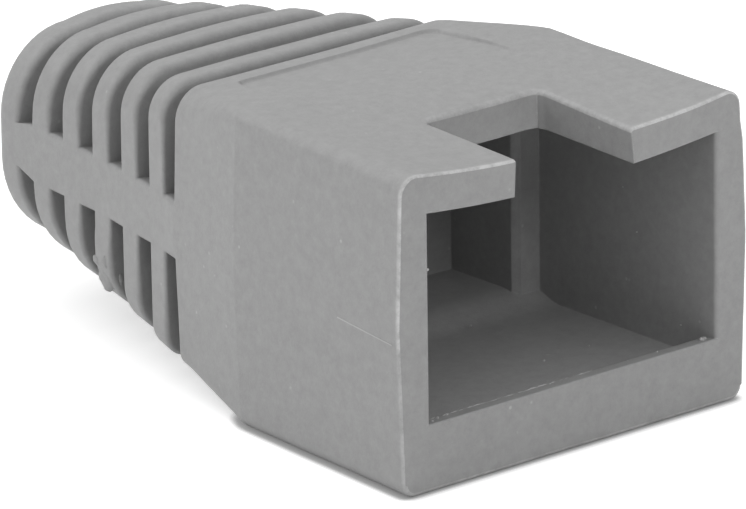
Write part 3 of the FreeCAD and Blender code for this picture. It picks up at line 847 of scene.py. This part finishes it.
def add_piece(name, verts, faces, material):
    """A small piece on the boot, its points in millimetres from the mouth."""
    mesh = bpy.data.meshes.new(name)
    mesh.from_pydata([(x * MM, (y - MIDDLE) * MM, z * MM) for x, y, z in verts], [], faces)
    for polygon in mesh.polygons:
        polygon.use_smooth = True
    mesh.materials.append(material)
    piece = bpy.data.objects.new(name, mesh)
    bpy.context.scene.collection.objects.link(piece)
    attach(piece, "root")


def lump(centre, radii, roughness, seed, rings=10, turns=16):
    """Points and faces of an uneven ball."""
    verts, faces = [], []
    for ring in range(rings + 1):
        tilt = math.pi * ring / rings
        for step in range(turns):
            turn = 2 * math.pi * step / turns
            across = math.sin(tilt)
            way = Vector((across * math.cos(turn), across * math.sin(turn), math.cos(tilt)))
            swell = 1 + roughness * noise.noise(way * 1.7 + Vector((seed, 0.0, 0.0)))
            verts.append(tuple(c + r * w * swell for c, r, w in zip(centre, radii, way)))
    for ring in range(rings):
        for step in range(turns):
            after = (step + 1) % turns
            a, b = ring * turns, (ring + 1) * turns
            faces.append((a + step, b + step, b + after, a + after))
    return verts, faces


def join(parts):
    """Several sets of points and faces as one."""
    verts, faces = [], []
    for more_verts, more_faces in parts:
        start = len(verts)
        verts += more_verts
        faces += [tuple(start + number for number in face) for face in more_faces]
    return verts, faces


def ridge(points, width, height):
    """A low ridge: each of its points has the ways out and across, and a share of the height."""
    verts, faces = [], []
    for number, (place, out, across, share) in enumerate(points):
        place, side = Vector(place), Vector(across) * width
        top = place + Vector(out) * height * share
        verts += [tuple(place - side), tuple(top), tuple(place + side)]
        if number:
            a, b = 3 * number - 3, 3 * number
            faces += [(a, b, b + 1, a + 1), (a + 1, b + 1, b + 2, a + 2)]
    return verts, faces


def parting_line():
    """The witness of the mould's parting line on the left side, fading out before the taper."""
    points = []
    last = 24
    for step in range(last + 1):
        along = lerp(*SEAM_SPAN, step / last)
        half = lerp(MOUTH_HALF, KINK_HALF, along / KINK)
        place = (-half + 0.004, along, lerp(*SEAM_HEIGHTS, step / last))
        points.append((place, (-1.0, 0.0, 0.0), (0.0, 0.0, 1.0), 1.0 if step < last else 0.1))
    return ridge(points, *SEAM_SIZE)


def lip_flash():
    """The ragged flash along the lip inside the mouth."""
    shake = random.Random(4)
    points = []
    last = 60
    for step in range(last + 1):
        along = LIP_DEPTH - 0.01 + shake.uniform(-0.03, 0.02)
        place = (lerp(*FLASH_SPAN, step / last), along, FLASH_HEIGHT)
        points.append((place, (0.0, 0.0, 1.0), (0.0, 1.0, 0.0), shake.uniform(0.1, 1.0)))
    return ridge(points, *FLASH_SIZE)


def dust_specks():
    """Dust and crumbs in the mouth, each where the photograph shows one."""
    specks = [
        ((1.99, 3.75, 1.48), 0.045), ((4.00, 3.87, 1.48), 0.030), ((2.24, 7.57, 1.62), 0.040),
        ((-5.30, 0.45, 2.16), 0.070), ((-4.85, 0.50, 2.15), 0.050), ((-5.62, 0.30, 2.18), 0.060),
        ((2.64, 0.50, 2.15), 0.035), ((3.90, 0.52, 2.15), 0.040), ((5.62, 0.34, 2.19), 0.110),
        ((5.80, 0.40, 2.18), 0.090), ((5.94, 3.74, 4.88), 0.030), ((5.94, 1.67, 2.28), 0.030),
        ((5.94, 4.40, 6.23), 0.025), ((-5.96, 0.08, 7.28), 0.060), ((-0.60, 0.50, 2.16), 0.035),
        ((-6.38, 0.03, 5.17), 0.022), ((-0.39, 0.04, 2.22), 0.028), ((-7.02, 0.9, 3.3), 0.03),
    ]
    return [
        lump(place, (size, size, size * 0.8), 0.6, float(number), 6, 9)
        for number, (place, size) in enumerate(specks)
    ]


def make_marks(material):
    """The torn gate, the witness of the parting line, and flash and dust in the mouth."""
    pale = pale_material()
    torn = [
        lump((-4.62, 17.42, 2.70), (0.34, 0.56, 0.66), 0.5, 3.0, 16, 24),
        lump((-4.80, 17.20, 3.00), (0.22, 0.20, 0.30), 0.5, 7.0),
        lump((-4.52, 17.70, 2.32), (0.26, 0.24, 0.26), 0.5, 9.0),
    ]
    add_piece("torn_gate", *join(torn), material)
    add_piece("parting_line", *parting_line(), pale)
    add_piece("mouth_flash", *join([lip_flash()] + dust_specks()), pale)


def floor_material():
    """White ground: lit as paper is, lifted to white where the camera sees it in full light, and
    darkened by a painted contact shadow where it is close to the boot.
    """
    material, tree = new_material("floor_white")
    link = tree.links.new
    output = add_node(tree, "ShaderNodeOutputMaterial")
    paper = add_node(tree, "ShaderNodeBsdfDiffuse")
    glow = add_node(tree, "ShaderNodeEmission")
    path = add_node(tree, "ShaderNodeLightPath").outputs
    seen = maths(tree, "MAXIMUM", path["Is Camera Ray"], path["Is Glossy Ray"])
    link(maths(tree, "MULTIPLY", seen, FLOOR_GLOW), glow.inputs["Strength"])
    # Painted contact shadow: the paper's colour and its glow darken where the boot is close
    near = add_node(tree, "ShaderNodeAmbientOcclusion", samples=16, Distance=CONTACT_REACH * MM)
    painted_contact_shade = scaled(tree, near.outputs["AO"], 0.5, 1.0, CONTACT_SHADE)
    link(grey(tree, maths(tree, "MULTIPLY", painted_contact_shade, FLOOR_WHITE)), paper.inputs["Color"])
    link(grey(tree, painted_contact_shade), glow.inputs["Color"])
    both = add_node(tree, "ShaderNodeAddShader")
    link(paper.outputs["BSDF"], both.inputs[0])
    link(glow.outputs["Emission"], both.inputs[1])
    link(both.outputs["Shader"], output.inputs["Surface"])
    return material


def make_floor():
    """The ground, a wide square that the boot stands on."""
    half = FLOOR_HALF
    mesh = bpy.data.meshes.new("floor")
    corners = [(-half, -half, 0), (half, -half, 0), (half, half, 0), (-half, half, 0)]
    mesh.from_pydata(corners, [], [(0, 1, 2, 3)])
    floor = bpy.data.objects.new("floor", mesh)
    floor.data.materials.append(floor_material())
    bpy.context.scene.collection.objects.link(floor)


def make_world():
    """White light that grows from the horizon to the zenith, and a white background."""
    world = bpy.data.worlds.new("studio")
    world.use_nodes = True
    bpy.context.scene.world = world
    tree = world.node_tree
    tree.nodes.clear()
    link = tree.links.new
    output = add_node(tree, "ShaderNodeOutputWorld")
    direction = add_node(tree, "ShaderNodeTexCoord").outputs["Generated"]
    parts = add_node(tree, "ShaderNodeSeparateXYZ")
    link(direction, parts.inputs["Vector"])
    rise = scaled(tree, parts.outputs["Z"], 0.0, 1.0, SKY_LOW, SKY_HIGH)
    slant = add_node(tree, "ShaderNodeVectorMath", operation="DOT_PRODUCT")
    slant.inputs[1].default_value = SKY_SLANT
    link(direction, slant.inputs[0])
    level = maths(tree, "MAXIMUM", maths(tree, "ADD", rise, slant.outputs["Value"]), 0.0)
    light = add_node(tree, "ShaderNodeBackground")
    link(grey(tree, level), light.inputs["Color"])
    white = add_node(tree, "ShaderNodeBackground", Color=(1.0, 1.0, 1.0, 1.0))
    path = add_node(tree, "ShaderNodeLightPath").outputs
    seen = maths(tree, "MAXIMUM", path["Is Camera Ray"], path["Is Transmission Ray"])
    mix = add_node(tree, "ShaderNodeMixShader")
    link(seen, mix.inputs["Fac"])
    link(light.outputs["Background"], mix.inputs[1])
    link(white.outputs["Background"], mix.inputs[2])
    link(mix.outputs["Shader"], output.inputs["Surface"])


def make_lamp(name, place, aim, size, level):
    """A square soft box whose light on a white card at the aim is about the level."""
    lamp = bpy.data.lights.new(name, "AREA")
    lamp.shape = "SQUARE"
    lamp.size = size
    reach = (Vector(place) - Vector(aim)).length
    lamp.energy = level * math.pi * math.pi * reach ** 2
    holder = bpy.data.objects.new(name, lamp)
    holder.location = place
    holder.rotation_mode = "QUATERNION"
    holder.rotation_quaternion = (Vector(aim) - Vector(place)).to_track_quat("-Z", "Y")
    bpy.context.scene.collection.objects.link(holder)


def camera_axes():
    """The camera's right, down and forward directions in the row frame."""
    turn, dip, roll = (math.radians(a) for a in (CAMERA_AZIMUTH, CAMERA_ELEVATION, CAMERA_ROLL))
    forward = Vector((
        math.sin(turn) * math.cos(dip),
        math.cos(turn) * math.cos(dip),
        -math.sin(dip),
    ))
    level = Vector((math.cos(turn), -math.sin(turn), 0.0))
    below = forward.cross(level)
    right = math.cos(roll) * level + math.sin(roll) * below
    down = math.cos(roll) * below - math.sin(roll) * level
    return right, down, forward


def make_camera():
    """The camera that was fitted to the photograph."""
    right, down, forward = camera_axes()
    across, along = CAMERA_SHIFT
    place = Vector(CAMERA_TARGET) - across * right - along * down - CAMERA_DISTANCE * forward
    data = bpy.data.cameras.new("camera")
    data.sensor_width = SENSOR
    data.lens = FOCAL_PIXELS / PHOTO_WIDTH * SENSOR
    data.clip_start = 0.01
    data.clip_end = 20.0
    camera = bpy.data.objects.new("camera", data)
    turned = Matrix((right, -down, -forward)).transposed().to_4x4()
    camera.matrix_world = Matrix.Translation(place * MM) @ turned
    bpy.context.scene.collection.objects.link(camera)
    bpy.context.scene.camera = camera


def main():
    """Build the boot, its marks, the ground, the light and the camera."""
    bpy.context.scene.view_settings.view_transform = "Standard"
    material = plastic()
    make_boot(material)
    make_marks(material)
    make_floor()
    make_world()
    make_lamp("key", KEY_PLACE, LAMP_AIM, KEY_SIZE, KEY_LEVEL)
    make_lamp("front", FRONT_PLACE, LAMP_AIM, FRONT_SIZE, FRONT_LEVEL)
    make_camera()


main()
